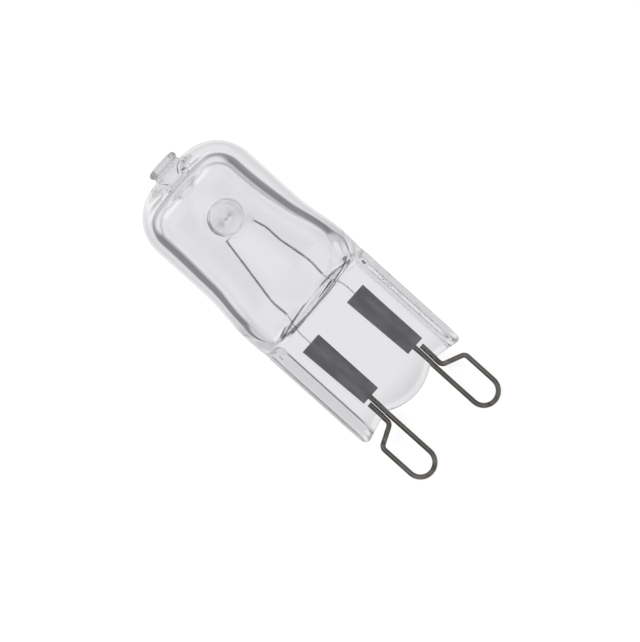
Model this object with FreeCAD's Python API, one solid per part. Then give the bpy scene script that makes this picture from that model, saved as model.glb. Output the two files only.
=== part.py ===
import FreeCAD
import Part
import math
import os

from FreeCAD import Matrix, Vector

# A clear halogen capsule bulb for mains voltage, 9 mm between its two contact loops.
# A fused-quartz tube is closed by a dome and a sealed exhaust tip at one end, and is pressed flat
# at the other round two metal foils. Inner leads hang the coil from the foils, two dimples clamp
# the coil's bend, and a bent wire welded to each foil comes out of the pinch as a contact loop.
# The lamp is modelled upright, contact loops down, and then laid down as it comes to rest.

# Stations along the lamp's axis, end to end, in millimetres
contact_reach = 7.04
pinch_length = 11.36
flare_height = 8.8
tube_length = 5.9
dome_height = 4.3
tip_height = 1.13

# Quartz tube, dome and exhaust tip
tube_diameter = 12.6
wall = 1.25
crown_wall = 1.15
tip_diameter = 3.35
tip_neck_diameter = 2.9
tip_rounding = 0.55
tip_root_radius = 0.3
funnel_diameter = 4.7
funnel_depth = 1.1
funnel_end_diameter = 0.9

# Shoulder, where the round tube flares and turns into the flat pinch
shoulder_height = 5.0
shoulder_width = 13.65
shoulder_peak = 2.5
floor_rise = 0.5
floor_thickness = 3.2
floor_width = 10.2

# Pinch: a web between two thicker side rails, with a round tongue between the pins
pinch_width = 13.3
web_thickness = 2.6
rail_width = 1.3
rail_thickness = 3.9
rail_rise = 0.7
rail_edge_radius = 0.6
web_edge_radius = 0.9
corner_drop = 0.63
tongue_drop = 0.87

# Dimples pressed into the front and the back of the tube
dimple_drop = 2.7
dimple_offset = 0.2
nose_diameter = 2.0
nose_wall = 1.0
dent_diameter = 1.2
nose_rounding = 0.35
dimple_draft = 8.0
dimple_rim_radius = 0.9
dimple_inner_radius = 0.5
nose_clearance = 0.02

# Coil, inner leads and foils
coil_diameter = 0.32
coil_end_spread = 5.5
coil_end_rise = 1.9
coil_bend_radius = 0.35
coil_top_left = 1.15
coil_top_right = 1.39
coil_kink_width = 2.14
coil_kink_drop = 3.25
coil_waist_width = 2.05
coil_waist_drop = 5.05
lead_diameter = 0.14
lead_weld_length = 0.9
lead_bend_radius = 0.5
foil_length = 7.5
foil_rise = 2.21
foil_top_width = 2.25
foil_bottom_width = 2.0
foil_thickness = 0.03

# Contact loops
contact_spacing = 9.0
loop_width = 2.76
wire_diameter = 0.5
wire_gap = 0.06
wire_weld_length = 1.0
stub_gap = 0.35
crook_low = 1.82
crook_high = 0.85
crook_radius = 0.55

# Values that follow from the sizes above
exit_z = contact_reach
pinch_top = exit_z + pinch_length
shoulder_top = pinch_top + shoulder_height
tube_bottom = pinch_top + flare_height
tube_top = tube_bottom + tube_length
crown_z = tube_top + dome_height
tip_z = crown_z + tip_height
floor_z = pinch_top + floor_rise
dimple_z = tube_top - dimple_drop
tube_radius = tube_diameter / 2
bore_radius = tube_radius - wall
pinch_half = pinch_width / 2
wire_radius = wire_diameter / 2
inner_leg_x = (contact_spacing - loop_width) / 2
outer_leg_x = (contact_spacing + loop_width) / 2
stub_x = inner_leg_x + wire_diameter + wire_gap
foil_bottom = exit_z + foil_rise
foil_top = foil_bottom + foil_length
foil_face = foil_thickness / 2
coil_end_z = floor_z + coil_end_rise
half_coil_gap = coil_diameter / 2 + nose_clearance

SIDES = {"left": -1, "right": 1}
FRONT_AND_BACK = (-1, 1)
AXIS = Vector(0, 0, 1)
ARC_HANDLE = 0.5523
SECTION_COUNT = 9
SECTION_CROWDING = 1.5
SHOULDER_FULLNESS = 0.9
WALL_SHARE = 0.75


def line(start, end):
    return Part.LineSegment(start, end).toShape()


def curve(*poles):
    bezier = Part.BezierCurve()
    bezier.setPoles(list(poles))
    return bezier.toShape()


def quarter(start, corner, end):
    """A quarter of an ellipse from start to end, inside the corner where its two tangents meet."""
    first = start + (corner - start) * ARC_HANDLE
    second = end + (corner - end) * ARC_HANDLE
    return curve(start, first, second, end)


def solid_of_revolution(edges, base=Vector(0, 0, 0), axis=AXIS):
    return Part.Face(Part.Wire(edges)).revolve(base, axis, 360)


def rounded_path(points, radius):
    """Straight runs through the points, joined by tangent arcs of one radius."""
    edges = []
    start = points[0]
    for before, corner, after in zip(points, points[1:], points[2:]):
        back = (before - corner).normalize()
        ahead = (after - corner).normalize()
        half_angle = back.getAngle(ahead) / 2
        setback = radius / math.tan(half_angle)
        middle = (back + ahead).normalize() * (radius / math.sin(half_angle) - radius)
        leave = corner + back * setback
        rejoin = corner + ahead * setback
        edges.append(line(start, leave))
        edges.append(Part.Arc(leave, corner + middle, rejoin).toShape())
        start = rejoin
    edges.append(line(start, points[-1]))
    return edges


def wire_along(edges, diameter):
    """A round wire along a path of lines and tangent arcs."""
    path = Part.Wire(edges)
    start = path.OrderedVertexes[0].Point
    heading = path.OrderedEdges[0].tangentAt(path.OrderedEdges[0].FirstParameter)
    ring = Part.Wire(Part.makeCircle(diameter / 2, start, heading))
    return path.makePipe(Part.Face(ring))


def shoulder_ratio(z, bottom):
    """How thick the shoulder is at a height: 0 at its flat lower end, 1 where it is as thick as the tube."""
    return min(max((z - bottom) / (shoulder_top - bottom), 0), 1)


def half_thickness(z, bottom, flat_half, round_half):
    ratio = shoulder_ratio(z, bottom)
    return flat_half + (round_half - flat_half) * (1 - (1 - ratio) ** 2) ** SHOULDER_FULLNESS


def half_width(z, bottom, flat_half, peak_half, round_half):
    """Half the width across the pinch: it swells from the flat end to a peak, then eases to the tube."""
    peak_z = bottom + shoulder_peak
    if z < peak_z:
        return peak_half - (peak_half - flat_half) * ((peak_z - z) / shoulder_peak) ** 2
    turn = (z - peak_z) / (tube_bottom - peak_z)
    return round_half + (peak_half - round_half) * (1 + math.cos(math.pi * turn)) / 2


def shoulder_loft(bottom, flat_half_width, peak_half_width, flat_half, round_half):
    """Oval sections from the flat end up to the round tube, closer together at the flat end."""
    sections = []
    for index in range(SECTION_COUNT):
        z = bottom + (tube_bottom - bottom) * (index / (SECTION_COUNT - 1)) ** SECTION_CROWDING
        across = half_width(z, bottom, flat_half_width, peak_half_width, round_half)
        through = half_thickness(z, bottom, flat_half, round_half)
        sections.append(Part.Wire(Part.Ellipse(Vector(0, 0, z), max(across, through), through).toShape()))
    return Part.makeLoft(sections, True)


def bulb_outside():
    """The round tube, its dome and the exhaust tip, turned about the axis."""
    neck = tip_neck_diameter / 2
    crown = neck + tip_root_radius
    tip_side = tip_z - tip_rounding
    points = [Vector(0, 0, tube_bottom), Vector(tube_radius, 0, tube_bottom),
              Vector(tube_radius, 0, tube_top), Vector(crown, 0, crown_z),
              Vector(neck, 0, crown_z + tip_root_radius), Vector(tip_diameter / 2, 0, tip_side),
              Vector(tip_diameter / 2 - tip_rounding, 0, tip_z), Vector(0, 0, tip_z)]
    edges = [line(points[0], points[1]),
             line(points[1], points[2]),
             quarter(points[2], Vector(tube_radius, 0, crown_z), points[3]),
             quarter(points[3], Vector(neck, 0, crown_z), points[4]),
             line(points[4], points[5]),
             quarter(points[5], Vector(tip_diameter / 2, 0, tip_z), points[6]),
             line(points[6], points[7]),
             line(points[7], points[0])]
    return solid_of_revolution(edges)


def bulb_inside():
    """The bore of the tube, its dome and the closed funnel where the exhaust tube was drawn off."""
    top = crown_z - crown_wall
    mouth = funnel_diameter / 2
    end = funnel_end_diameter / 2
    funnel_top = top + funnel_depth
    points = [Vector(0, 0, tube_bottom), Vector(bore_radius, 0, tube_bottom),
              Vector(bore_radius, 0, tube_top), Vector(mouth, 0, top),
              Vector(end, 0, funnel_top - end), Vector(0, 0, funnel_top)]
    half_turn = math.radians(45)
    round_point = Vector(end * math.cos(half_turn), 0, funnel_top - end + end * math.sin(half_turn))
    edges = [line(points[0], points[1]),
             line(points[1], points[2]),
             quarter(points[2], Vector(bore_radius, 0, top), points[3]),
             quarter(points[3], Vector(end, 0, top), points[4]),
             Part.Arc(points[4], round_point, points[5]).toShape(),
             line(points[5], points[0])]
    return solid_of_revolution(edges)


def dimple_cone(side, nose_radius, nose_y, rounding):
    """A blunt cone that points at the lamp's axis from the front or the back, widening outwards."""
    reach = tube_radius + dimple_rim_radius
    spread = math.tan(math.radians(dimple_draft)) * (reach - nose_y)
    base = Vector(dimple_offset, 0, dimple_z)
    points = [Vector(0, nose_y, 0), Vector(nose_radius - rounding, nose_y, 0),
              Vector(nose_radius, nose_y + rounding, 0), Vector(nose_radius + spread, reach, 0),
              Vector(0, reach, 0)]
    points = [base + Vector(point.x, side * point.y, point.z) for point in points]
    edges = [line(points[0], points[1]),
             quarter(points[1], base + Vector(nose_radius, side * nose_y, 0), points[2]),
             line(points[2], points[3]),
             line(points[3], points[4]),
             line(points[4], points[0])]
    return solid_of_revolution(edges, base, Vector(0, side, 0))


def rim_edges(shape, side, radius):
    """The edges where a dimple's cone meets the round wall at a radius, on the front or the back."""
    found = []
    for edge in shape.Edges:
        box = edge.BoundBox
        centred = abs(box.Center.x - dimple_offset) < wall and abs(box.Center.z - dimple_z) < wall
        on_wall = side * box.Center.y > radius * WALL_SHARE
        if centred and on_wall and box.XLength > nose_diameter / 2 and box.ZLength > nose_diameter / 2:
            found.append(edge)
    return found


def pinch_outline(half, top):
    """The pinch seen from the front, between its sides: a tongue between the pins, then sloped feet."""
    corner_z = exit_z - corner_drop
    tongue_x = inner_leg_x - wire_radius
    notch_x = stub_x + wire_diameter
    left = [Vector(-half, 0, top), Vector(-half, 0, corner_z), Vector(-notch_x, 0, exit_z),
            Vector(-tongue_x, 0, exit_z)]
    right = [Vector(-point.x, 0, point.z) for point in reversed(left)]
    edges = [line(start, end) for start, end in zip(left, left[1:])]
    edges.append(Part.Arc(left[-1], Vector(0, 0, exit_z - tongue_drop), right[0]).toShape())
    edges += [line(start, end) for start, end in zip(right, right[1:])]
    edges.append(line(right[-1], left[0]))
    return Part.Face(Part.Wire(edges))


def plate(face, thickness):
    """A flat outline given its thickness, half to the front and half to the back."""
    solid = face.extrude(Vector(0, thickness, 0))
    solid.translate(Vector(0, -thickness / 2, 0))
    return solid


def pinch_web():
    """The flat web, with its lower edges rounded over, reaching up into the shoulder."""
    web = plate(pinch_outline(pinch_half - rail_edge_radius, floor_z), web_thickness)
    lower = [edge for edge in web.Edges if edge.BoundBox.ZMax < exit_z + wire_radius
             and edge.BoundBox.YLength < wire_radius]
    return web.makeFillet(web_edge_radius, lower)


def pinch_rail(side):
    """One thick side rail, rounded over at its top and along its edges."""
    corner_z = exit_z - corner_drop
    slope = corner_drop / (pinch_half - stub_x - wire_diameter)
    inner_x = pinch_half - rail_width
    top = pinch_top + rail_rise
    spring = top - rail_width / 2
    foot = Vector(side * pinch_half, 0, corner_z)
    heel = Vector(side * inner_x, 0, corner_z + slope * rail_width)
    inner = Vector(side * inner_x, 0, spring)
    crest = Vector(side * (pinch_half + inner_x) / 2, 0, top)
    outer = Vector(side * pinch_half, 0, spring)
    edges = [line(foot, heel), line(heel, inner), Part.Arc(inner, crest, outer).toShape(), line(outer, foot)]
    rail = plate(Part.Face(Part.Wire(edges)), rail_thickness)
    return rail.makeFillet(rail_edge_radius, rail.Edges)


def quartz_body():
    """The envelope before its metal is let in: outside, cavity and dimples."""
    outside = bulb_outside().fuse(shoulder_loft(pinch_top, pinch_half - rail_edge_radius / 2, shoulder_width / 2,
                                                web_thickness / 2, tube_radius))
    cavity = bulb_inside().fuse(shoulder_loft(floor_z, floor_width / 2, shoulder_width / 2 - wall,
                                              floor_thickness / 2, bore_radius))
    for side in FRONT_AND_BACK:
        outside = outside.cut(dimple_cone(side, dent_diameter / 2, half_coil_gap + nose_wall, nose_rounding))
        outside = outside.makeFillet(dimple_rim_radius, rim_edges(outside, side, tube_radius))
        cavity = cavity.cut(dimple_cone(side, nose_diameter / 2, half_coil_gap, nose_rounding))
        cavity = cavity.makeFillet(dimple_inner_radius, rim_edges(cavity, side, bore_radius))
    pinch = pinch_web().multiFuse([pinch_rail(side) for side in SIDES.values()])
    return outside.fuse(pinch).removeSplitter().cut(cavity)


def seal_foil(side):
    """A thin foil, a little narrower at its lower end, with its right-hand edge straight."""
    straight_x = side * inner_leg_x + foil_top_width / 2
    corners = [Vector(straight_x, 0, foil_top), Vector(straight_x - foil_top_width, 0, foil_top),
               Vector(straight_x - foil_bottom_width, 0, foil_bottom), Vector(straight_x, 0, foil_bottom)]
    return plate(Part.Face(Part.makePolygon(corners + corners[:1])), foil_thickness)


def before_foil(low, high):
    """The space before the foils' back faces between two heights, where a welded wire is flattened."""
    size = Vector(pinch_width, tube_radius, high - low)
    return Part.makeBox(size.x, size.y, size.z, Vector(-size.x / 2, foil_face - size.y, low))


def coil_points():
    """The coil's centre line: up from the left lead, through the dimples and down to the right lead."""
    end_x = coil_end_spread / 2
    return [Vector(-end_x, 0, coil_end_z),
            Vector(dimple_offset - coil_top_left, 0, dimple_z),
            Vector(dimple_offset + coil_top_right, 0, dimple_z),
            Vector(dimple_offset + coil_kink_width, 0, dimple_z - coil_kink_drop),
            Vector(dimple_offset + coil_waist_width, 0, dimple_z - coil_waist_drop),
            Vector(end_x, 0, coil_end_z)]


def inner_lead(side):
    """A thin lead from the coil's end, down through the quartz to its weld on the foil."""
    points = coil_points()
    end, neighbour = (points[0], points[1]) if side < 0 else (points[-1], points[-2])
    heading = (end - neighbour).normalize()
    knee = end + heading * (coil_end_rise / 2 / -heading.z)
    foil_x = side * inner_leg_x
    weld = Vector(foil_x, foil_face, foil_top - lead_weld_length)
    bend = Vector(foil_x, foil_face, (foil_top + floor_z) / 2)
    lead = wire_along(rounded_path([end, knee, bend, weld], lead_bend_radius), lead_diameter)
    return lead.cut(before_foil(weld.z - lead_diameter, foil_top))


def contact_loop(side):
    """A bent wire: down from its weld on the foil, round the contact loop and back into the quartz."""
    turn = loop_width / 2
    turn_z = wire_radius + turn
    weld = Vector(side * inner_leg_x, foil_face, foil_bottom + wire_weld_length)
    down = Vector(side * inner_leg_x, foil_face, turn_z)
    round_end = Vector(side * (inner_leg_x + turn), foil_face, wire_radius)
    up = Vector(side * outer_leg_x, foil_face, turn_z)
    crook = [up, Vector(side * outer_leg_x, foil_face, exit_z - crook_low),
             Vector(side * stub_x, foil_face, exit_z - crook_high),
             Vector(side * stub_x, foil_face, foil_bottom - stub_gap)]
    edges = [line(weld, down), Part.Arc(down, round_end, up).toShape()] + rounded_path(crook, crook_radius)
    loop = wire_along(edges, wire_diameter)
    return loop.cut(before_foil(foil_bottom, weld.z + wire_diameter))


def resting_tilt():
    """The angle at which the lamp rests on its shoulder and on the ends of its contact loops."""
    steps = 60
    slopes = []
    for index in range(1, steps + 1):
        z = pinch_top + shoulder_height * index / steps
        rise = half_thickness(z, pinch_top, web_thickness / 2, tube_radius) - wire_radius
        slopes.append(rise / (z - wire_radius))
    return math.atan(max(slopes))


def lay_down(pieces):
    """Turns the upright lamp onto its back: tip towards -X and a little up, front face upwards."""
    tilt = resting_tilt()
    across = Vector(0, 1, 0)
    back = Vector(-math.sin(tilt), 0, -math.cos(tilt))
    tip_way = Vector(-math.cos(tilt), 0, math.sin(tilt))
    turn = Matrix(across.x, back.x, tip_way.x, 0,
                  across.y, back.y, tip_way.y, 0,
                  across.z, back.z, tip_way.z, 0,
                  0, 0, 0, 1)
    laid = {name: shape.transformed(turn, True) for name, shape in pieces.items()}
    box = Part.makeCompound(list(laid.values())).optimalBoundingBox(False, False)
    shift = Vector(-box.Center.x, -box.Center.y, -box.ZMin)
    for shape in laid.values():
        shape.translate(shift)
    return laid


def build_lamp():
    pieces = {"filament_coil": wire_along(rounded_path(coil_points(), coil_bend_radius), coil_diameter)}
    for name, side in SIDES.items():
        pieces[name + "_inner_lead"] = inner_lead(side)
        pieces[name + "_seal_foil"] = seal_foil(side)
        pieces[name + "_contact_loop"] = contact_loop(side)
    sealed_in = [shape for name, shape in pieces.items() if name != "filament_coil"]
    pieces["quartz_envelope"] = quartz_body().cut(sealed_in)
    return lay_down(pieces)


os.makedirs("parts", exist_ok=True)
for node, shape in build_lamp().items():
    shape.exportStep("parts/" + node + ".step")
    print(node, shape.ShapeType, len(shape.Solids), shape.isValid(), round(shape.Volume, 4))
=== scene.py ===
import math

import bpy
import numpy as np
from mathutils import Matrix, Vector


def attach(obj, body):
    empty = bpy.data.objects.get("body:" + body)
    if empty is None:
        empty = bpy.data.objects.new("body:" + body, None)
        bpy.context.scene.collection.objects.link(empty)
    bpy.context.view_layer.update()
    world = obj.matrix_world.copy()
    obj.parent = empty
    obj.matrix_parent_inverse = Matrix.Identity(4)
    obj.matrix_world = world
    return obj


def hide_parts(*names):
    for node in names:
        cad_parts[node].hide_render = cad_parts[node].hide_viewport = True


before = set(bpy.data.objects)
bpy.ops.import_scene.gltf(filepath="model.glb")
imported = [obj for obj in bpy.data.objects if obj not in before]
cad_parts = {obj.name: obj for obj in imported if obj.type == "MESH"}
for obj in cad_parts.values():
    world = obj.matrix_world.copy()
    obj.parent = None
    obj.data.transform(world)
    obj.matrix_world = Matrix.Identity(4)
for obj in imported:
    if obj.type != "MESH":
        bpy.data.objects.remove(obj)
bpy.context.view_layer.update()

# The lamp's own directions. Lamp sizes are in millimetres: x across the pinch, y from front to back,
# z from the contact loops up to the exhaust tip. The lamp lies on its back, tilted as it rests.
MM = 0.001
REST_TILT = math.radians(14.872420942)
ACROSS = (0, 1, 0)
BACK = (-math.sin(REST_TILT), 0, -math.cos(REST_TILT))
TIPWARD = (-math.cos(REST_TILT), 0, math.sin(REST_TILT))
REST_SHIFT = (18.771011502, 0.0, 0.200330695)

# Heights along the lamp
EXIT_Z = 7.04
CORNER_Z = 6.41
TONGUE_Z = 6.17
PINCH_TOP = 18.4
RAIL_TOP = 19.1
FLOOR_LOW = 19.1
FLOOR_RIM_Z = 19.7
SHOULDER_TOP = 23.4
TUBE_BOTTOM = 27.2
TUBE_TOP = 33.1
CROWN_Z = 37.4
TIP_Z = 38.53

# Tube, dome and tip
TUBE_RADIUS = 6.3
BORE_RADIUS = 5.05
INNER_CROWN_Z = 35.75
BOSS_RADIUS = 2.3
BOSS_HEIGHT = 1.25
TIP_RADIUS = 1.675
TIP_CORNER = 0.42
TIP_DOME = 0.08
NECK_RADIUS = 1.5
NECK_ROOT = 0.3

# Bubbles left in the quartz, the first a pocket in the tip: centres, radii and half heights
BUBBLES = [((0, 0, 37.93), 1.1, 0.36), ((0.55, -1.0, 36.75), 0.14, 0.1), ((0.85, -0.9, 36.8), 0.09, 0.08),
           ((0.4, -1.2, 36.95), 0.08, 0.06)]
BUBBLE_STEP = 4

# Shoulder
SHOULDER_HALF = 6.825
SHOULDER_FLAT_HALF = 6.6
SHOULDER_PEAK = 2.5
SHOULDER_FULLNESS = 0.9
CREASE_SOFTNESS = 0.1
CREASE_LEAD = 0.1

# Cavity and its floor. Ranges are heights over which a change takes place
CAVITY_HALF = 5.575
CAVITY_EDGE = 0.5
CAVITY_EDGE_RANGE = (20.0, 23.0)
CAVITY_SHIFT = 0.2
CAVITY_SHIFT_RANGE = (21, 33)
CAVITY_NARROWING = 0.05
CAVITY_NARROWING_RANGE = (24, 33)
FLOOR_HALF_WIDTH = 5.1
FLOOR_HALF_THICKNESS = 1.5
FLOOR_FLATNESS = 4
FLOOR_TILT = (0.05, 0.3)
FLOOR_TILT_RANGE = (FLOOR_LOW, FLOOR_LOW + 3.5)

# Pinch
PINCH_HALF = 6.65
WEB_HALF = 1.3
WEB_SQUARENESS = 6
ROUNDNESS = 2
RAIL_HALF = 1.95
RAIL_INNER_X = 5.35
RAIL_SLOPE = 0.95
RAIL_SQUARENESS = 8
RAIL_CREST = 0.65
RAIL_BLEND = 6
KNOB_Z = 18.2
KNOB_SIZE = 0.35
KNOB_RISE = 0.12
FOOT_CORNER = 0.6
FOOT_ROUNDING = 0.08
FOOT_TAPER = 2.3
FOOT_THIN = 0.6
FOOT_TOP = EXIT_Z + FOOT_TAPER + FOOT_CORNER

# Dimples
DIMPLE_X = 0.2
DIMPLE_Z = 30.4
DIMPLE_REACH = 2.15
DIMPLE_SPREAD = 1.2
DIMPLE_POWER = 2.6
DIMPLE_RIM_SHARE = 0.6
DIMPLE_SLANT = (0.092, -0.06)
DIMPLE_STEPS = 400
OUTER_NOSE = 1.18
INNER_NOSE = 0.18
FACING_SHARE = 1 / 3

# Metal
INNER_LEG_X = 3.12
NOTCH_X = 4.18
WIRE_RADIUS = 0.25
COIL_POINTS = [(-2.75, 20.8), (-0.95, 30.4), (1.59, 30.4), (2.34, 27.15), (2.25, 25.35), (2.75, 20.8)]
COIL_BEND = 0.35
COIL_BEND_STEPS = 9
COIL_RADIUS = 0.1
COIL_WIRE_RADIUS = 0.03
COIL_PITCH = 0.11
COIL_TURN_STEPS = 10

# Rows of sections that the quartz is drawn through, points round each one, and the gap sewing closes
SEAM = 1e-7
AROUND = 200
CROWDING = 0.25
ROW_GAP = 0.1
CREASE_ROWS_LOW = PINCH_TOP - 0.5
CREASE_ROWS_HIGH = 21.3
TUBE_ROWS_LOW = 21.45
DIMPLE_ROWS_LOW = DIMPLE_Z - 3.0
FOOT_ROUND_ROWS = 8
FOOT_TAPER_ROWS = 22
FOOT_LEVEL_ROWS = 6
WEB_ROWS = 12
CREASE_ROWS = 42
CAVITY_CREASE_ROWS = 24
FLARE_ROWS = 36
DIMPLE_ROWS = 74
DOME_ROWS = 30
CAVITY_DOME_ROWS = 26
BOSS_ROWS = 31
NECK_ROOT_ROWS = 6
NECK_ROWS = 8
TIP_CORNER_ROWS = 10
TIP_TOP_ROWS = 8
BUBBLE_ROWS = 25
FLOOR_TURNS = [0, 10, 20, 30, 40, 50, 58, 65, 71, 76, 80, 84, 87]


def laid_down(points):
    """Lamp points in millimetres, moved to where the lamp rests, in metres."""
    turned = np.asarray(points, float) @ np.array([ACROSS, BACK, TIPWARD])
    return (turned + np.array(REST_SHIFT)) * MM


def lamp_direction(x, y, z):
    return Vector(ACROSS) * x + Vector(BACK) * y + Vector(TIPWARD) * z


def ease(low, high, value):
    ratio = np.clip((value - low) / (high - low), 0, 1)
    return ratio ** 3 * (ratio * (6 * ratio - 15) + 10)


def activate(piece):
    bpy.ops.object.select_all(action="DESELECT")
    piece.select_set(True)
    bpy.context.view_layer.objects.active = piece


def in_edit_mode(piece, *steps):
    activate(piece)
    bpy.ops.object.mode_set(mode="EDIT")
    bpy.ops.mesh.select_all(action="SELECT")
    for step in steps:
        step()
    bpy.ops.object.mode_set(mode="OBJECT")


def sew():
    bpy.ops.mesh.remove_doubles(threshold=SEAM)
    bpy.ops.mesh.normals_make_consistent(inside=False)


def skin(name, rows):
    """A closed skin: a grid moved onto rows of sections round the lamp, then sewn along its seams."""
    table = np.array(rows)
    bpy.ops.object.select_all(action="DESELECT")
    bpy.ops.mesh.primitive_grid_add(x_subdivisions=table.shape[1] - 1, y_subdivisions=table.shape[0] - 1)
    piece = bpy.context.object
    piece.name = name
    piece.matrix_world = Matrix.Identity(4)
    piece.data.vertices.foreach_set("co", laid_down(table.reshape(-1, 3)).ravel())
    piece.data.update()
    in_edit_mode(piece, sew)
    return piece


# Shape of the quartz, from the pinch up

EVEN_TURN = np.linspace(0, 2 * math.pi, AROUND + 1)
TURN = EVEN_TURN + CROWDING * np.sin(2 * EVEN_TURN)
COS = np.cos(TURN)
SIN = np.sin(TURN)
COS[[0, -1]] = 1
SIN[[0, AROUND // 2, -1]] = 0
FRONT_OR_BACK = np.where(SIN < 0, -1.0, 1.0)


def swelling(z, bottom, flat_half, peak_half, round_half):
    """Half the width over the shoulder: it swells from the flat end to a peak, then eases to the tube."""
    peak_z = bottom + SHOULDER_PEAK
    drop = np.clip(peak_z - z, 0, SHOULDER_PEAK) / SHOULDER_PEAK
    below = peak_half - (peak_half - flat_half) * drop ** 2
    turn = np.clip((z - peak_z) / (TUBE_BOTTOM - peak_z), 0, 1)
    above = round_half + (peak_half - round_half) * (1 + np.cos(math.pi * turn)) / 2
    return np.where(z < peak_z, below, above)


def softened(rise):
    lowest = CREASE_SOFTNESS ** SHOULDER_FULLNESS
    return (rise ** 2 + CREASE_SOFTNESS ** 2) ** (SHOULDER_FULLNESS / 2) - lowest


def thickening(z, bottom, flat_half, round_half):
    """Half the thickness over the shoulder: it grows fast above a soft crease, then slowly to the tube."""
    share = np.clip((z - bottom) / (SHOULDER_TOP - bottom), 0, 1)
    rise = 1 - (1 - share) ** 2
    return flat_half + (round_half - flat_half) * softened(rise) / softened(1)


def oval(half, power):
    return half * (1 - np.abs(COS) ** power) ** (1 / power)


def crest_share(z):
    """How far a height has come along the round top end of a rail."""
    return np.clip((z - RAIL_TOP + RAIL_CREST) / RAIL_CREST, 0, 1)


def outer_half_width(z):
    shoulder = swelling(z, PINCH_TOP, SHOULDER_FLAT_HALF, SHOULDER_HALF, TUBE_RADIUS)
    rail = PINCH_HALF - RAIL_CREST * (1 - np.sqrt(1 - crest_share(z) ** 2))
    return np.where(z < RAIL_TOP, np.maximum(rail, shoulder), shoulder)


def outer_half_thickness(z):
    """The pinch's web and rails, blended into the oval shoulder and the round tube."""
    rounded = ease(PINCH_TOP - CREASE_LEAD, RAIL_TOP - CREASE_LEAD, z)
    power = WEB_SQUARENESS - (WEB_SQUARENESS - ROUNDNESS) * rounded
    body = oval(thickening(z, PINCH_TOP, WEB_HALF, TUBE_RADIUS), power)
    x = np.abs(outer_half_width(z) * COS)
    height = RAIL_HALF * np.sqrt(1 - crest_share(z) ** 2)
    knob = 1 + KNOB_RISE * np.exp(-((z - KNOB_Z) / KNOB_SIZE) ** 2)
    side = ease(RAIL_INNER_X - RAIL_SLOPE, RAIL_INNER_X + RAIL_SLOPE, x)
    rail = oval(height * knob, RAIL_SQUARENESS) * side
    return (body ** RAIL_BLEND + rail ** RAIL_BLEND) ** (1 / RAIL_BLEND)


def lower_edge(x):
    """The pinch's lower outline: a round tongue between the pins, then feet that slope to the corners."""
    reach = np.abs(x)
    tongue_half = INNER_LEG_X - WIRE_RADIUS
    tongue = EXIT_Z - (EXIT_Z - TONGUE_Z) * np.clip(1 - (reach / tongue_half) ** 2, 0, 1)
    foot = EXIT_Z - (EXIT_Z - CORNER_Z) * np.clip((reach - NOTCH_X) / (PINCH_HALF - NOTCH_X), 0, 1)
    corner = np.clip((reach - PINCH_HALF + FOOT_CORNER) / FOOT_CORNER, 0, 1)
    return np.where(reach < tongue_half, tongue, foot) + FOOT_CORNER * (1 - np.sqrt(1 - corner ** 2))


def dimple_path():
    """From a dimple's nose out to its rim: distances from its middle, and how far they have risen."""
    reach = np.linspace(0, DIMPLE_REACH, DIMPLE_STEPS)
    rim = 1 - ease(DIMPLE_RIM_SHARE * DIMPLE_REACH, DIMPLE_REACH, reach)
    sunk = np.exp(-(reach / DIMPLE_SPREAD) ** DIMPLE_POWER) * rim
    return reach, 1 - sunk


def domed_radius(z, radius, crown, top):
    """The tube's radius at a height, drawn in by the dome above it."""
    rise = np.clip((z - TUBE_TOP) / (top - TUBE_TOP), 0, 1)
    return crown + (radius - crown) * np.sqrt(1 - rise ** 2)


def dimpled(rows, radius, crown, top, nose, nose_x):
    """Presses the front and the back of the tube in to a nose, with more rows where the path is steep."""
    reach, risen = dimple_path()
    steps = np.hypot(np.diff(reach), np.diff(risen) * (radius - nose))
    travelled = np.concatenate([[0], np.cumsum(steps)])
    table = np.array(rows)
    y = table[..., 1]
    middle_x = nose_x + DIMPLE_SLANT[0] * radius * np.sign(y)
    middle_z = DIMPLE_Z + DIMPLE_SLANT[1] * radius * np.sign(y)
    x = table[..., 0] - middle_x
    z = table[..., 2] - middle_z
    away = np.hypot(x, z)
    inside = (away < DIMPLE_REACH) & (np.abs(y) > radius * FACING_SHARE)
    new_away = np.interp(away / DIMPLE_REACH * travelled[-1], travelled, reach)
    spread = new_away / np.maximum(away, SEAM)
    sunk = 1 - np.interp(new_away, reach, risen)
    new_x = x * spread + middle_x + (nose_x - middle_x) * sunk
    new_z = z * spread + middle_z + (DIMPLE_Z - middle_z) * sunk
    surface = np.sqrt(np.maximum(domed_radius(new_z, radius, crown, top) ** 2 - new_x ** 2, 0))
    pressed = np.sign(y) * (surface - (surface - nose) * sunk)
    table[..., 0] = np.where(inside, new_x, table[..., 0])
    table[..., 1] = np.where(inside, pressed, y)
    table[..., 2] = np.where(inside, new_z, table[..., 2])
    return list(table)


def section(z, half_thickness, half_width):
    height = np.broadcast_to(z, COS.shape)
    return np.stack([half_width * COS, FRONT_OR_BACK * half_thickness, height], -1)


def ring(radius, z):
    return np.stack([radius * COS, radius * SIN, np.full(COS.shape, z)], -1)


def quarter_turn(steps):
    return np.radians(np.linspace(0, 90, steps + 1))


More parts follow.
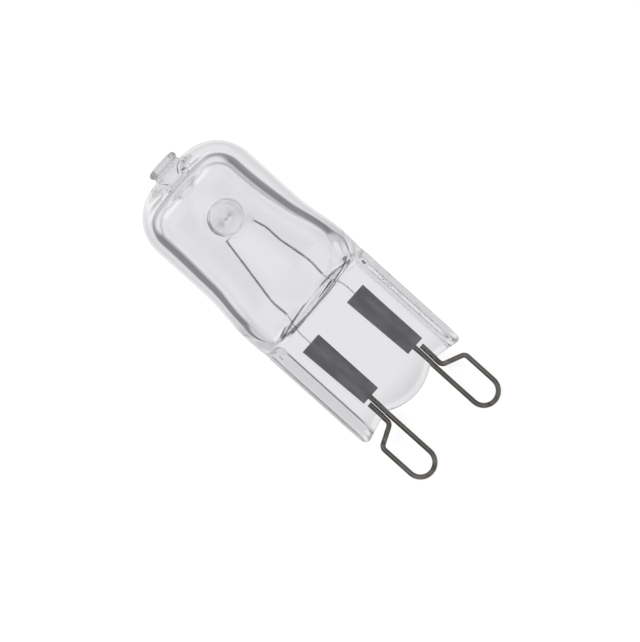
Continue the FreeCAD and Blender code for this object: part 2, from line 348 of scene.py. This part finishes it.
def pinch_foot_rows():
    """The lower end of the pinch: it tapers, then rounds over from the front to the back."""
    edge = lower_edge(PINCH_HALF * COS)
    end_half = outer_half_thickness(edge + FOOT_TAPER) * FOOT_THIN
    rows = []
    for turn in quarter_turn(FOOT_ROUND_ROWS):
        z = edge + FOOT_ROUNDING * (1 - math.cos(turn))
        rows.append(section(z, end_half * math.sin(turn), PINCH_HALF))
    for share in np.linspace(0, 1, FOOT_TAPER_ROWS)[1:-1]:
        z = edge + FOOT_ROUNDING + (FOOT_TAPER - FOOT_ROUNDING) * share
        taper = 1 - (1 - FOOT_THIN) * (1 - share) ** 2
        rows.append(section(z, outer_half_thickness(z) * taper, PINCH_HALF))
    for share in np.linspace(0, 1, FOOT_LEVEL_ROWS)[:-1]:
        z = (edge + FOOT_TAPER) * (1 - share) + FOOT_TOP * share
        rows.append(section(z, outer_half_thickness(z), PINCH_HALF))
    return rows


def tube_heights():
    """Heights of the rows from the shoulder to the dome, closer together over the dimples."""
    return np.concatenate([np.linspace(TUBE_ROWS_LOW, DIMPLE_ROWS_LOW - ROW_GAP, FLARE_ROWS),
                           np.linspace(DIMPLE_ROWS_LOW, TUBE_TOP - ROW_GAP, DIMPLE_ROWS)])


def tip_rows():
    """The exhaust tip: a neck that widens to a flat button with a round corner, closed at its pole."""
    rows = []
    neck_z = CROWN_Z + NECK_ROOT
    corner_z = TIP_Z - TIP_DOME - TIP_CORNER
    flat = TIP_RADIUS - TIP_CORNER
    for turn in quarter_turn(NECK_ROOT_ROWS)[1:]:
        radius = NECK_RADIUS + NECK_ROOT - NECK_ROOT * math.sin(turn)
        rows.append(ring(radius, CROWN_Z + NECK_ROOT * (1 - math.cos(turn))))
    for share in np.linspace(0, 1, NECK_ROWS)[1:]:
        radius = NECK_RADIUS + (TIP_RADIUS - NECK_RADIUS) * share
        rows.append(ring(radius, neck_z + (corner_z - neck_z) * share))
    for turn in quarter_turn(TIP_CORNER_ROWS)[1:]:
        rows.append(ring(flat + TIP_CORNER * math.cos(turn), corner_z + TIP_CORNER * math.sin(turn)))
    for share in np.linspace(0, 1, TIP_TOP_ROWS)[1:]:
        rows.append(ring(flat * (1 - share), TIP_Z - TIP_DOME * (1 - share) ** 2))
    return rows


def outer_rows():
    rows = pinch_foot_rows()
    web = np.linspace(FOOT_TOP, CREASE_ROWS_LOW - ROW_GAP, WEB_ROWS)
    crease = np.linspace(CREASE_ROWS_LOW, CREASE_ROWS_HIGH, CREASE_ROWS)
    for z in np.concatenate([web, crease, tube_heights()]):
        rows.append(section(z, outer_half_thickness(z), outer_half_width(z)))
    crown = NECK_RADIUS + NECK_ROOT
    for turn in quarter_turn(DOME_ROWS):
        rows.append(ring(crown + (TUBE_RADIUS - crown) * math.cos(turn),
                         TUBE_TOP + (CROWN_Z - TUBE_TOP) * math.sin(turn)))
    return dimpled(rows, TUBE_RADIUS, crown, CROWN_Z, OUTER_NOSE, DIMPLE_X) + tip_rows()


def inner_half_width(z):
    return swelling(z, FLOOR_RIM_Z, FLOOR_HALF_WIDTH, CAVITY_HALF, BORE_RADIUS)


def inner_half_thickness(z):
    power = ROUNDNESS - CAVITY_EDGE * (1 - ease(*CAVITY_EDGE_RANGE, z))
    return oval(thickening(z, FLOOR_RIM_Z, FLOOR_HALF_THICKNESS, BORE_RADIUS), power)


def floor_rows():
    """The cavity's floor, a flat oval with a round edge, closed from the front to the back."""
    full = inner_half_thickness(FLOOR_RIM_Z)
    wide = inner_half_width(FLOOR_RIM_Z)
    rows = []
    for turn in np.radians(FLOOR_TURNS):
        share = math.sin(turn)
        away = np.sqrt(COS ** 2 + (share * SIN) ** 2)
        sunk = np.maximum(1 - away ** FLOOR_FLATNESS, 0) ** (1 / FLOOR_FLATNESS)
        rows.append(section(FLOOR_RIM_Z - (FLOOR_RIM_Z - FLOOR_LOW) * sunk, full * share, wide))
    return rows


def cavity_shift(z):
    return CAVITY_SHIFT * ease(*CAVITY_SHIFT_RANGE, z)


def cavity_narrowing(z):
    return 1 - CAVITY_NARROWING * ease(*CAVITY_NARROWING_RANGE, z)


def inner_rows():
    """The cavity, a little off the middle and narrower towards its top, over a tilted floor."""
    rows = floor_rows()
    crease = np.linspace(FLOOR_RIM_Z, CREASE_ROWS_HIGH, CAVITY_CREASE_ROWS)
    for z in np.concatenate([crease, tube_heights()]):
        rows.append(section(z, inner_half_thickness(z), inner_half_width(z)))
    for turn in quarter_turn(CAVITY_DOME_ROWS):
        rows.append(ring(BOSS_RADIUS + (BORE_RADIUS - BOSS_RADIUS) * math.cos(turn),
                         TUBE_TOP + (INNER_CROWN_Z - TUBE_TOP) * math.sin(turn)))
    nose_x = (DIMPLE_X + cavity_shift(DIMPLE_Z)) / cavity_narrowing(DIMPLE_Z)
    rows = dimpled(rows, BORE_RADIUS, BOSS_RADIUS, INNER_CROWN_Z, INNER_NOSE, nose_x)
    for share in np.linspace(0, 1, BOSS_ROWS)[1:]:
        drop = BOSS_HEIGHT * share ** 2 * (3 - 2 * share)
        rows.append(ring(BOSS_RADIUS * (1 - share), INNER_CROWN_Z - drop))
    table = np.array(rows)
    low = 1 - ease(*FLOOR_TILT_RANGE, table[..., 2])
    table[..., 0] = table[..., 0] * cavity_narrowing(table[..., 2]) - cavity_shift(table[..., 2])
    table[..., 2] += (FLOOR_TILT[0] * table[..., 0] + FLOOR_TILT[1] * table[..., 1]) * low
    return list(table)


def bubble_rows(centre, radius, half_height):
    """A flattened bubble, closed at its lower and upper poles."""
    rows = []
    for turn in np.radians(np.linspace(-90, 90, BUBBLE_ROWS)):
        level = ring(radius * math.cos(turn), half_height * math.sin(turn))[::BUBBLE_STEP]
        rows.append(level + np.array(centre))
    return rows


def quartz_envelope():
    outside = skin("clear_quartz_envelope", outer_rows())
    hollows = [skin("sealed_cavity", inner_rows())]
    for centre, radius, half_height in BUBBLES:
        hollows.append(skin("bubble", bubble_rows(centre, radius, half_height)))
    for hollow in hollows:
        in_edit_mode(hollow, bpy.ops.mesh.flip_normals)
    activate(outside)
    for hollow in hollows:
        hollow.select_set(True)
    bpy.ops.object.join()
    activate(outside)
    bpy.ops.object.shade_smooth()
    return outside


# Coil

def coil_line():
    """The coil's centre line in the lamp's x and z: straight runs with small round bends."""
    corners = np.array(COIL_POINTS)
    line = [corners[0]]
    for before, corner, after in zip(corners, corners[1:], corners[2:]):
        back = (before - corner) / np.linalg.norm(before - corner)
        ahead = (after - corner) / np.linalg.norm(after - corner)
        for share in np.linspace(0, 1, COIL_BEND_STEPS):
            line.append(corner + back * COIL_BEND * (1 - share) ** 2 + ahead * COIL_BEND * share ** 2)
    line.append(corners[-1])
    line = np.array(line)
    travelled = np.concatenate([[0], np.cumsum(np.linalg.norm(np.diff(line, axis=0), axis=1))])
    return travelled, line


def coiled_filament():
    """Fine wire wound round the centre line, a bevelled curve turned into a mesh."""
    travelled, line = coil_line()
    turns = travelled[-1] / COIL_PITCH
    count = round(turns * COIL_TURN_STEPS)
    along = np.linspace(0, travelled[-1], count)
    middle = np.stack([np.interp(along, travelled, line[:, axis]) for axis in (0, 1)], -1)
    heading = np.gradient(middle, axis=0)
    heading /= np.linalg.norm(heading, axis=1)[:, None]
    turn = along / COIL_PITCH * 2 * math.pi
    offset = COIL_RADIUS * np.cos(turn)
    points = np.stack([middle[:, 0] - heading[:, 1] * offset, COIL_RADIUS * np.sin(turn),
                       middle[:, 1] + heading[:, 0] * offset], -1)
    curve = bpy.data.curves.new("coiled_filament", "CURVE")
    curve.dimensions = "3D"
    curve.bevel_depth = COIL_WIRE_RADIUS * MM
    curve.bevel_resolution = 1
    curve.use_fill_caps = True
    spline = curve.splines.new("POLY")
    spline.points.add(count - 1)
    laid = np.concatenate([laid_down(points), np.ones((count, 1))], axis=1)
    spline.points.foreach_set("co", laid.ravel())
    piece = bpy.data.objects.new("coiled_filament", curve)
    bpy.context.scene.collection.objects.link(piece)
    activate(piece)
    bpy.ops.object.convert(target="MESH")
    bpy.ops.object.shade_smooth()
    return bpy.context.object


# Nodes

def node(tree, kind, **settings):
    made = tree.nodes.new(kind)
    for key, value in settings.items():
        setattr(made, key, value)
    return made


def feed(tree, socket, source):
    """Sets a socket to a value, or links it to another node's output."""
    if isinstance(source, bpy.types.NodeSocket):
        tree.links.new(source, socket)
    else:
        socket.default_value = (*source, 1) if socket.type == "RGBA" else source


def maths(tree, operation, first, second=0.0):
    made = node(tree, "ShaderNodeMath", operation=operation)
    feed(tree, made.inputs[0], first)
    feed(tree, made.inputs[1], second)
    return made.outputs[0]


def folded(tree, operation, values):
    result = values[0]
    for value in values[1:]:
        result = maths(tree, operation, result, value)
    return result


def product(tree, *values):
    return folded(tree, "MULTIPLY", values)


def total(tree, *values):
    return folded(tree, "ADD", values)


def greatest(tree, *values):
    return folded(tree, "MAXIMUM", values)


def ramp_between(tree, value, low, high, to_low=0.0, to_high=1.0):
    """A value eased from one range into another."""
    made = node(tree, "ShaderNodeMapRange", interpolation_type="SMOOTHSTEP")
    for socket, source in zip(made.inputs[:5], (value, low, high, to_low, to_high)):
        feed(tree, socket, source)
    return made.outputs[0]


def mixed_colour(tree, share, first, second):
    made = node(tree, "ShaderNodeMix", data_type="RGBA")
    feed(tree, made.inputs[0], share)
    feed(tree, made.inputs[6], first)
    feed(tree, made.inputs[7], second)
    return made.outputs[2]


def mixed_shader(tree, share, first, second):
    made = node(tree, "ShaderNodeMixShader")
    feed(tree, made.inputs[0], share)
    feed(tree, made.inputs[1], first)
    feed(tree, made.inputs[2], second)
    return made.outputs[0]


def dot(tree, vector, axis):
    made = node(tree, "ShaderNodeVectorMath", operation="DOT_PRODUCT")
    feed(tree, made.inputs[0], vector)
    feed(tree, made.inputs[1], axis)
    return made.outputs["Value"]


def bumped(tree, height, distance, strength=1.0):
    made = node(tree, "ShaderNodeBump")
    feed(tree, made.inputs["Height"], height)
    feed(tree, made.inputs["Distance"], distance * MM)
    feed(tree, made.inputs["Strength"], strength)
    return made.outputs[0]


def new_group(name, inputs, outputs):
    group = bpy.data.node_groups.new(name, "ShaderNodeTree")
    for label in inputs:
        group.interface.new_socket(label, in_out="INPUT", socket_type="NodeSocketFloat")
    for label in outputs:
        group.interface.new_socket(label, in_out="OUTPUT", socket_type="NodeSocketFloat")
    return group, node(group, "NodeGroupInput"), node(group, "NodeGroupOutput")


def use_group(tree, group, **values):
    made = node(tree, "ShaderNodeGroup", node_tree=group)
    for label, value in values.items():
        feed(tree, made.inputs[label], value)
    return made.outputs


def place_group():
    """How far across, through and along the lamp a point lies, in millimetres."""
    group, _, out = new_group("place_on_lamp", (), ("Across", "Through", "Along"))
    moved = node(group, "ShaderNodeVectorMath", operation="SUBTRACT")
    feed(group, moved.inputs[0], node(group, "ShaderNodeTexCoord").outputs["Object"])
    feed(group, moved.inputs[1], [value * MM for value in REST_SHIFT])
    for label, axis in (("Across", ACROSS), ("Through", BACK), ("Along", TIPWARD)):
        feed(group, out.inputs[label], dot(group, moved.outputs[0], [value / MM for value in axis]))
    return group


def grain_group(place):
    """Cloudy grain, drawn out along the lamp by a stretch."""
    group, given, out = new_group("drawn_grain", ("Scale", "Stretch", "Low", "High"), ("Mask",))
    at = use_group(group, place)
    along = maths(group, "DIVIDE", at["Along"], given.outputs["Stretch"])
    point = node(group, "ShaderNodeCombineXYZ")
    for socket, source in zip(point.inputs, (at["Across"], at["Through"], along)):
        feed(group, socket, source)
    noise = node(group, "ShaderNodeTexNoise")
    feed(group, noise.inputs["Vector"], point.outputs[0])
    feed(group, noise.inputs["Scale"], given.outputs["Scale"])
    feed(group, noise.inputs["Detail"], 3.0)
    mask = ramp_between(group, noise.outputs[0], given.outputs["Low"], given.outputs["High"])
    feed(group, out.inputs["Mask"], mask)
    return group


PLACE = place_group()
GRAIN = grain_group(PLACE)

# Quartz finish. A pair is a range of places, in millimetres, over which painted shade or a dark mark comes
# in
QUARTZ_IOR = 1.458
CLEAR_COLOUR = (0.985, 0.985, 0.99)
# Painted shade: a grey that darkens the quartz towards the foot, over the tip, on the rails and on the
# shoulder's sides
SHADE_COLOUR = (0.76, 0.76, 0.77)
SHADE_AND_MARK_COLOUR = (0.1, 0.1, 0.11)
FOOT_SHADE = (9.4, 5.6)
TIP_SHADE = (36.8, 37.6)
RAIL_ASIDE = (5.0, 5.9)
RAIL_BELOW = (19.2, 18.4)
RAIL_ABOVE = (8.0, 9.0)
SHOULDER_ASIDE = (5.2, 5.9)
SHOULDER_BELOW = (25.5, 21.5)
SHADE_SHARE = 0.7
RIGHT_SIDE = (4.6, 5.4)
FRONT_SIDE = (0.2, -0.2)

# Line down the left rail, specks on the right rail
LINE_X = -5.4
LINE_EDGE = (0.13, 0.05)
LINE_ABOVE = (7.8, 8.2)
LINE_BELOW = (18.0, 17.6)
LINE_SHARE = 0.7
SPECK_SHARE = 0.25

# Painted shade along the rim of the cavity's floor: an oval's middle, half width and half height. Its dark
# line fades over a share
# # of the oval, and is thinner at the oval's ends
RIM_OVAL = (0.1, 19.5, 4.65, 0.62)
RIM_EDGE = (0.21, 0.08)
RIM_THINNING = (3.0, 4.6, 1.0, 2.2)
RIM_INSIDE = (-2.9, -2.7)

# Painted shade darkening the ends of the tip, and an oval spot beside its neck that fades over a share of
# the oval
TIP_END_ASIDE = (0.95, 1.45)
TIP_END_ABOVE = (37.65, 37.9)
TIP_END_SHARE = 0.75
SPOT_OVAL = (0.62, 36.66, 0.32, 0.15)
SPOT_EDGE = (1.0, 0.6)

# Relief in the surface, the dimples' slight haze, and reflections after which a ray passes on
SPECK_HEIGHT = 0.1
LUMP_HEIGHT = 0.06
RIPPLE_HEIGHT = 0.03
RELIEF = 0.1
DIMPLE_HAZE = (2.25, 1.9, 0.0, 0.3)
MOST_REFLECTIONS = 2.5


def new_material(name):
    material = bpy.data.materials.new(name)
    material.use_nodes = True
    material.node_tree.nodes.clear()
    return material, material.node_tree


def show(tree, surface):
    feed(tree, node(tree, "ShaderNodeOutputMaterial").inputs["Surface"], surface)


def oval_reach(tree, at, x, z, half_width, half_height, slope=0.0):
    """How far a point lies from the middle of an oval drawn on the lamp's front, 1 on its outline."""
    across = maths(tree, "SUBTRACT", at["Across"], x)
    level = maths(tree, "SUBTRACT", at["Along"], z)
    along = maths(tree, "SUBTRACT", level, product(tree, across, slope))
    made = node(tree, "ShaderNodeCombineXYZ")
    feed(tree, made.inputs[0], maths(tree, "DIVIDE", across, half_width))
    feed(tree, made.inputs[1], maths(tree, "DIVIDE", along, half_height))
    length = node(tree, "ShaderNodeVectorMath", operation="LENGTH")
    feed(tree, length.inputs[0], made.outputs[0])
    return length.outputs["Value"]


def painted_shade_and_marks(tree, at, aside, specks):
    """Painted shade as a dark line round the rim of the cavity's floor and dark ends of the tip, with the
    rail's line, the specks and the neck's spot.
    """
    front = ramp_between(tree, at["Through"], *FRONT_SIDE)
    from_line = maths(tree, "ABSOLUTE", maths(tree, "SUBTRACT", at["Across"], LINE_X))
    line = product(tree, ramp_between(tree, from_line, *LINE_EDGE), front,
                   ramp_between(tree, at["Along"], *LINE_ABOVE),
                   ramp_between(tree, at["Along"], *LINE_BELOW), LINE_SHARE)
    # Painted shade: a dark line round the rim of the cavity's floor, on the front
    reach = oval_reach(tree, at, *RIM_OVAL, FLOOR_TILT[0])
    from_rim = product(tree, maths(tree, "ABSOLUTE", maths(tree, "SUBTRACT", reach, 1.0)),
                       ramp_between(tree, aside, *RIM_THINNING))
    rim = product(tree, ramp_between(tree, from_rim, *RIM_EDGE), front,
                  ramp_between(tree, at["Through"], *RIM_INSIDE))
    # Painted shade: the tip's ends are darkened
    tip_ends = product(tree, ramp_between(tree, aside, *TIP_END_ASIDE),
                       ramp_between(tree, at["Along"], *TIP_END_ABOVE), TIP_END_SHARE)
    spot = product(tree, ramp_between(tree, oval_reach(tree, at, *SPOT_OVAL), *SPOT_EDGE), front)
    return greatest(tree, line, rim, tip_ends, spot, product(tree, specks, SPECK_SHARE))


def fused_quartz():
    """Clear quartz, a little uneven, with painted shade over its foot, tip, rails and shoulder sides,
    painted shade lines at the floor's rim and the tip's ends, a dark rail line, specks and a spot.
    """
    material, tree = new_material("fused_quartz")
    at = use_group(tree, PLACE)
    aside = maths(tree, "ABSOLUTE", at["Across"])
    # Painted shade: the quartz is greyed towards the foot, over the tip, on the rails and on the
    # shoulder's sides
    foot = ramp_between(tree, at["Along"], *FOOT_SHADE)
    tip = ramp_between(tree, at["Along"], *TIP_SHADE)
    rails = product(tree, ramp_between(tree, aside, *RAIL_ASIDE),
                    ramp_between(tree, at["Along"], *RAIL_BELOW),
                    ramp_between(tree, at["Along"], *RAIL_ABOVE))
    shoulder = product(tree, ramp_between(tree, aside, *SHOULDER_ASIDE),
                       ramp_between(tree, at["Along"], *SHOULDER_BELOW))
    painted_shade = greatest(tree, foot, product(tree, greatest(tree, tip, rails, shoulder), SHADE_SHARE))
    flecks = use_group(tree, GRAIN, Scale=3.0, Stretch=2.5, Low=0.6, High=0.72)["Mask"]
    lumps = use_group(tree, GRAIN, Scale=1.0, Stretch=1.0, Low=0.2, High=0.8)["Mask"]
    ripple = use_group(tree, GRAIN, Scale=0.5, Stretch=6.0, Low=0.2, High=0.8)["Mask"]
    specks = product(tree, flecks, rails, ramp_between(tree, at["Across"], *RIGHT_SIDE))
    height = total(tree, product(tree, specks, SPECK_HEIGHT), product(tree, tip, lumps, LUMP_HEIGHT),
                   product(tree, ripple, RIPPLE_HEIGHT))
    clear = mixed_colour(tree, painted_shade, CLEAR_COLOUR, SHADE_COLOUR)
    # Painted shade lines at the floor's rim and the tip's ends darken the colour, as do the rail's line,
    # the specks and the spot
    colour = mixed_colour(tree, painted_shade_and_marks(tree, at, aside, specks), clear, SHADE_AND_MARK_COLOUR)
    from_dimple = oval_reach(tree, at, DIMPLE_X, DIMPLE_Z, 1.0, 1.0)
    glass = node(tree, "ShaderNodeBsdfPrincipled")
    feed(tree, glass.inputs["Base Color"], colour)
    feed(tree, glass.inputs["Roughness"], ramp_between(tree, from_dimple, *DIMPLE_HAZE))
    feed(tree, glass.inputs["Normal"], bumped(tree, height, RELIEF))
    glass.inputs["IOR"].default_value = QUARTZ_IOR
    glass.inputs["Transmission Weight"].default_value = 1.0
    # Light shines through the quartz, and rays that are caught inside it pass straight on
    path = node(tree, "ShaderNodeLightPath")
    caught = maths(tree, "GREATER_THAN", path.outputs["Glossy Depth"], MOST_REFLECTIONS)
    passing = greatest(tree, path.outputs["Is Shadow Ray"], caught)
    through = node(tree, "ShaderNodeBsdfTransparent").outputs[0]
    show(tree, mixed_shader(tree, passing, glass.outputs[0], through))
    return material


METAL_GRAIN = (0.3, 0.7)
METAL_RELIEF = 0.01
METAL_RELIEF_STRENGTH = 0.4


def metal(name, dark, light, smooth, rough, scale, stretch):
    """A metal whose colour and shine follow a drawn or mottled grain."""
    material, tree = new_material(name)
    low, high = METAL_GRAIN
    grain = use_group(tree, GRAIN, Scale=scale, Stretch=stretch, Low=low, High=high)["Mask"]
    shader = node(tree, "ShaderNodeBsdfPrincipled")
    feed(tree, shader.inputs["Base Color"], mixed_colour(tree, grain, dark, light))
    feed(tree, shader.inputs["Roughness"], ramp_between(tree, grain, 0.0, 1.0, rough, smooth))
    feed(tree, shader.inputs["Normal"], bumped(tree, grain, METAL_RELIEF, METAL_RELIEF_STRENGTH))
    shader.inputs["Metallic"].default_value = 1.0
    show(tree, shader.outputs[0])
    return material


# Studio: a pale floor, two soft lights, and a light panel behind the bulb with a dark ring round it

LEAN = math.radians(3.5)
SWING = math.radians(6)
ROLL = math.radians(42)
LOOK_AT = (-0.94, 0, 17.45)
FRAME_LONG_SIDE = 60.0
CAMERA_DISTANCE = 1.2
STUDIO_FLOOR_SIZE = 6
STUDIO_FLOOR_GREY = 0.9
STUDIO_FLOOR_GLOW = 0.85

# Brightness of the surround by degrees off the line of sight, and the tints of its light and dark
PANEL_STOPS = [(0, 0.79), (27, 0.79), (36, 0.21), (51, 0.21), (62, 0.8), (92, 0.85),
               (106, 0.35), (140, 0.35), (162, 0.85), (180, 0.85)]
DARK_BELOW = 0.5
LIGHT_TINT = (1, 1, 1.015)
DARK_TINT = (1, 0.97, 1.07)
OPEN_GREY = (0.79, 0.79, 0.8)

# The dark ring is open at its corners, and thinner above and below
CORNER_OPENING = (0.14, 0.3)
TOP_OPENING = (0.35, 0.6, 0.0, 0.6)
BOTTOM_OPENING = (-0.2, -0.45, 0.0, 0.6)

# A white strip stands above the panel's middle
STRIP_WHITE = (1.05, 1.05, 1.06)
STRIP_ABOVE = (0.26, 0.34)
STRIP_BELOW = (0.52, 0.44)
STRIP_AHEAD = (0.3, 0.6)
STRIP_SIDES = (0.3, 0.15, 0.0, 0.7)


def view_axes():
    """The photo's viewing direction, and the lamp's tipward and rightward directions as it shows them."""
    ahead_x = math.sin(SWING)
    ahead_z = -math.sin(LEAN)
    ahead = lamp_direction(ahead_x, math.sqrt(1 - ahead_x ** 2 - ahead_z ** 2), ahead_z)
    tipward = (Vector(TIPWARD) - ahead * ahead.dot(Vector(TIPWARD))).normalized()
    return ahead, tipward, ahead.cross(tipward)


def camera():
    ahead, tipward, rightward = view_axes()
    right = rightward * math.sin(ROLL) - tipward * math.cos(ROLL)
    down = -rightward * math.cos(ROLL) - tipward * math.sin(ROLL)
    bpy.ops.object.camera_add()
    made = bpy.context.object
    made.name = "photo_camera"
    made.data.lens = made.data.sensor_width * CAMERA_DISTANCE / (FRAME_LONG_SIDE * MM)
    turn = Matrix((right, -down, -ahead)).transposed().to_4x4()
    target = Vector(laid_down([LOOK_AT])[0])
    made.matrix_world = Matrix.Translation(target - ahead * CAMERA_DISTANCE) @ turn
    made.data.clip_start = 0.01
    made.data.clip_end = 10
    bpy.context.scene.camera = made


def floor():
    """A pale floor that glows softly. Glass and metal see past it to the surround."""
    bpy.ops.object.select_all(action="DESELECT")
    bpy.ops.mesh.primitive_plane_add(size=STUDIO_FLOOR_SIZE)
    made = bpy.context.object
    made.name = "studio_floor"
    material, tree = new_material("pale_floor")
    paint = node(tree, "ShaderNodeBsdfDiffuse")
    feed(tree, paint.inputs["Color"], [STUDIO_FLOOR_GREY] * 3)
    glow = node(tree, "ShaderNodeEmission")
    feed(tree, glow.inputs["Color"], (1, 1, 1))
    glow.inputs["Strength"].default_value = 1.0
    lit = mixed_shader(tree, STUDIO_FLOOR_GLOW, paint.outputs[0], glow.outputs[0])
    path = node(tree, "ShaderNodeLightPath")
    seen_past = greatest(tree, path.outputs["Is Transmission Ray"], path.outputs["Is Glossy Ray"])
    show(tree, mixed_shader(tree, seen_past, lit, node(tree, "ShaderNodeBsdfTransparent").outputs[0]))
    made.data.materials.append(material)


def shaded(tree, ratio, stops):
    """A tinted grey that follows a ratio through stops of (ratio, brightness)."""
    made = node(tree, "ShaderNodeValToRGB")
    made.color_ramp.interpolation = "EASE"
    while len(made.color_ramp.elements) < len(stops):
        made.color_ramp.elements.new(0.5)
    for element, (position, value) in zip(made.color_ramp.elements, stops):
        element.position = position
        tint = DARK_TINT if value < DARK_BELOW else LIGHT_TINT
        element.color = (*(value * share for share in tint), 1)
    feed(tree, made.inputs[0], ratio)
    return made.outputs[0]


def surround():
    """White to the eye. Glass and metal see the light panel, the dark ring round it and the strip."""
    ahead, _, rightward = view_axes()
    world = bpy.data.worlds.new("studio_surround")
    bpy.context.scene.world = world
    world.use_nodes = True
    tree = world.node_tree
    tree.nodes.clear()
    direction = node(tree, "ShaderNodeTexCoord").outputs["Generated"]
    forward = dot(tree, direction, ahead)
    sideways = maths(tree, "ABSOLUTE", dot(tree, direction, rightward))
    level = maths(tree, "ADD", dot(tree, direction, TIPWARD), math.sin(LEAN))
    off_axis = maths(tree, "DIVIDE", maths(tree, "ARCCOSINE", forward), math.pi)
    panel = shaded(tree, off_axis, [(angle / 180, value) for angle, value in PANEL_STOPS])
    corner = product(tree, sideways, maths(tree, "ABSOLUTE", level))
    opened = greatest(tree, ramp_between(tree, corner, *CORNER_OPENING),
                      ramp_between(tree, level, *TOP_OPENING),
                      ramp_between(tree, level, *BOTTOM_OPENING))
    strip = product(tree, ramp_between(tree, level, *STRIP_ABOVE), ramp_between(tree, level, *STRIP_BELOW),
                    ramp_between(tree, forward, *STRIP_AHEAD), ramp_between(tree, sideways, *STRIP_SIDES))
    seen = mixed_colour(tree, strip, mixed_colour(tree, opened, panel, OPEN_GREY), STRIP_WHITE)
    lit = node(tree, "ShaderNodeBackground")
    feed(tree, lit.inputs["Color"], seen)
    shown = node(tree, "ShaderNodeBackground")
    feed(tree, shown.inputs["Color"], (1, 1, 1))
    to_eye = node(tree, "ShaderNodeLightPath").outputs["Is Camera Ray"]
    sky = mixed_shader(tree, to_eye, lit.outputs[0], shown.outputs[0])
    feed(tree, node(tree, "ShaderNodeOutputWorld").inputs["Surface"], sky)


def soft_light(name, place, size, power):
    bpy.ops.object.light_add(type="AREA", location=place)
    made = bpy.context.object
    made.name = name
    made.data.shape = "DISK"
    made.data.size = size
    made.data.energy = power
    made.rotation_euler = (-Vector(place)).to_track_quat("-Z", "Y").to_euler()
    made.visible_glossy = False
    made.visible_transmission = False


bulb = quartz_envelope()
bulb.data.materials.append(fused_quartz())
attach(bulb, "root")
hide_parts("quartz_envelope")

tungsten = metal("tungsten_coil", (0.3, 0.3, 0.305), (0.5, 0.5, 0.505),
                 smooth=0.4, rough=0.55, scale=6.0, stretch=1.0)
coil = coiled_filament()
coil.data.materials.append(tungsten)
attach(coil, "root")
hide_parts("filament_coil")

lead = metal("inner_lead", (0.86, 0.86, 0.87), (0.97, 0.97, 0.98),
             smooth=0.6, rough=0.75, scale=4.0, stretch=6.0)
foil = metal("seal_foil", (0.208, 0.205, 0.219), (0.236, 0.233, 0.248),
             smooth=0.55, rough=0.7, scale=1.2, stretch=3.0)
wire = metal("contact_wire", (0.12, 0.11, 0.098), (0.22, 0.207, 0.188),
             smooth=0.18, rough=0.26, scale=2.0, stretch=8.0)
for name, material in (("inner_lead", lead), ("seal_foil", foil), ("contact_loop", wire)):
    for side in ("left_", "right_"):
        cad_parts[side + name].data.materials.clear()
        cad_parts[side + name].data.materials.append(material)

camera()
floor()
surround()
soft_light("key_lamp", place=(-0.25, -0.3, 0.6), size=0.4, power=4)
soft_light("fill_lamp", place=(0.3, 0.35, 0.5), size=0.3, power=2)

bpy.context.scene.view_settings.view_transform = "Standard"
